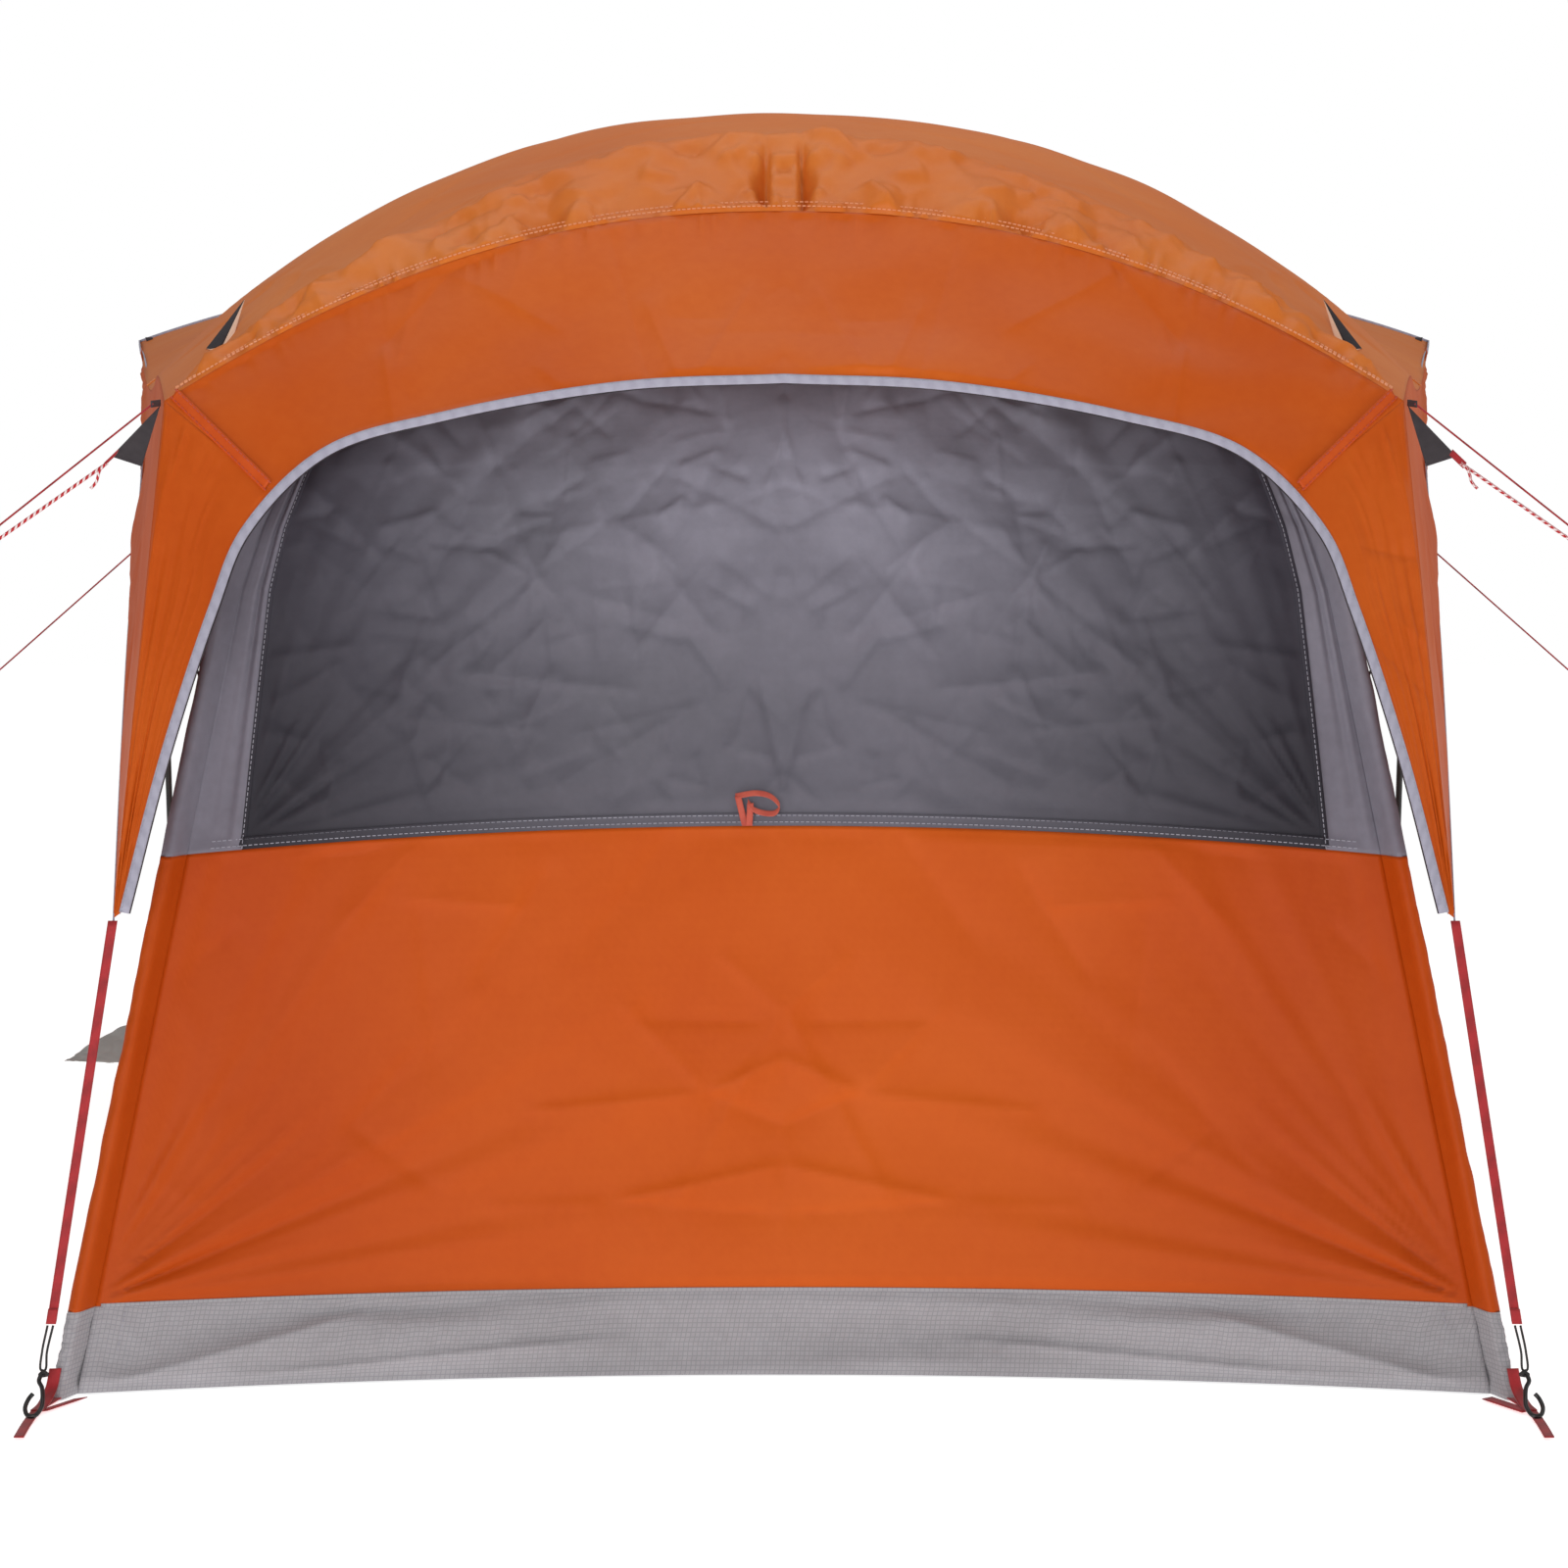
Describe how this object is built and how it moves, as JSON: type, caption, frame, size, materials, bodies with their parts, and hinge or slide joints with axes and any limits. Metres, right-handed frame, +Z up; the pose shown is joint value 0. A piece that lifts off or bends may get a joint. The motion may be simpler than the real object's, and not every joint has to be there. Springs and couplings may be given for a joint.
{
  "type": "dome tent",
  "caption": "Family dome tent with crossing poles, an arched visor, a windowed near wall, a door at the far end and an awning on uprights.",
  "frame": {"origin": "on the underside of the floor, at its middle", "axes": "+Z up, +X to the right seen from the near end, +Y from the near end towards the awning"},
  "size_m": [3.3929, 3.4053, 2.0309],
  "materials": {
    "binding": "grey woven binding tape",
    "elastic": "black elastic cord",
    "floor": "grey coated groundsheet",
    "fly_front": "orange coated polyester",
    "fly_roof": "orange coated polyester, lit from above",
    "guy_rope": "red and white braided guy rope",
    "hook": "black moulded hook",
    "lower_wall": "orange polyester",
    "pole": "satin black fibreglass tube",
    "red_webbing": "flat red woven webbing",
    "skirt": "grey ripstop weave",
    "sleeve": "wrinkled pale grey pole sleeve",
    "slider": "black zip slider",
    "tab": "dark grey reinforcing cloth",
    "thin_line": "thin dark red cord",
    "upper_wall": "breathable grey polyester",
    "upright": "black powder-coated steel tube",
    "window": "thin dark grey creased polyester"
  },
  "bodies": {
    "tent": {"main_pole_a": "pole", "main_pole_b": "pole", "corner_sleeve_near_left": "sleeve", "corner_sleeve_near_right": "sleeve", "corner_sleeve_far_left": "sleeve", "corner_sleeve_far_right": "sleeve", "fly_crown": "fly_roof", "fly_awning": "fly_roof", "fly_visor": "fly_front", "fly_leg_left": "fly_front", "fly_leg_right": "fly_front", "arch_binding": "binding", "fly_wing_left": "fly_front", "fly_wing_right": "fly_front", "brow_pole": "pole", "skirt_near": "skirt", "skirt_far": "skirt", "skirt_left": "skirt", "skirt_right": "skirt", "near_lower_wall": "lower_wall", "near_window": "window", "near_side_panel_left": "upper_wall", "near_side_panel_right": "upper_wall", "left_lower_wall": "lower_wall", "left_upper_wall": "upper_wall", "right_lower_wall": "lower_wall", "right_upper_wall": "upper_wall", "far_wall_left": "lower_wall", "far_wall_right": "lower_wall", "far_wall_lintel": "upper_wall", "inner_roof": "upper_wall", "floor": "floor", "tie_strap_left": "red_webbing", "tie_elastic_left": "elastic", "corner_webbing_left": "red_webbing", "guy_tab_left": "tab", "guyline_left": "guy_rope", "shock_line_left": "thin_line", "side_guyline_left": "thin_line", "tie_strap_right": "red_webbing", "tie_elastic_right": "elastic", "corner_webbing_right": "red_webbing", "guy_tab_right": "tab", "guyline_right": "guy_rope", "shock_line_right": "thin_line", "side_guyline_right": "thin_line", "sleeve_hook_left": "elastic", "sleeve_hook_right": "elastic", "hem_loop": "red_webbing", "ground_flap": "skirt"},
    "door": {"door_panel": "lower_wall"},
    "zip_slider": {"zip_slider": "slider"},
    "upright_left": {"awning_upright_left": "upright"},
    "upright_right": {"awning_upright_right": "upright"},
    "hook_left": {"tie_hook_left": "hook"},
    "hook_right": {"tie_hook_right": "hook"},
    "runner_left": {"guy_runner_left": "hook"},
    "runner_right": {"guy_runner_right": "hook"}
  },
  "joints": [
    {"name": "door_swing", "type": "hinge", "parent": "tent", "child": "door", "pos_m": [-0.433, 1.42978, 0.15], "axis": [0, -0.2913, 0.9566], "range_deg": [0, 110]},
    {"name": "zip_travel", "type": "slide", "parent": "tent", "child": "zip_slider", "axis": [0, -0.2913, 0.9566], "range_m": [0, 0.8]},
    {"name": "upright_swing_left", "type": "hinge", "parent": "tent", "child": "upright_left", "pos_m": [-1.56, 1.65, 1.74], "axis": [1, 0, 0], "range_deg": [0, 35]},
    {"name": "upright_swing_right", "type": "hinge", "parent": "tent", "child": "upright_right", "pos_m": [1.56, 1.65, 1.74], "axis": [1, 0, 0], "range_deg": [0, 35]},
    {"name": "hook_swing_left", "type": "hinge", "parent": "tent", "child": "hook_left", "pos_m": [-1.062, -1.538, 0.046], "axis": [0, 1, 0], "range_deg": [-20, 20]},
    {"name": "hook_swing_right", "type": "hinge", "parent": "tent", "child": "hook_right", "pos_m": [1.062, -1.538, 0.046], "axis": [0, 1, 0], "range_deg": [-20, 20]},
    {"name": "runner_travel_left", "type": "slide", "parent": "tent", "child": "runner_left", "axis": [0.7779, 0.2334, 0.5834], "range_m": [0, 0.12]},
    {"name": "runner_travel_right", "type": "slide", "parent": "tent", "child": "runner_right", "axis": [-0.7779, 0.2334, 0.5834], "range_m": [0, 0.12]}
  ]
}
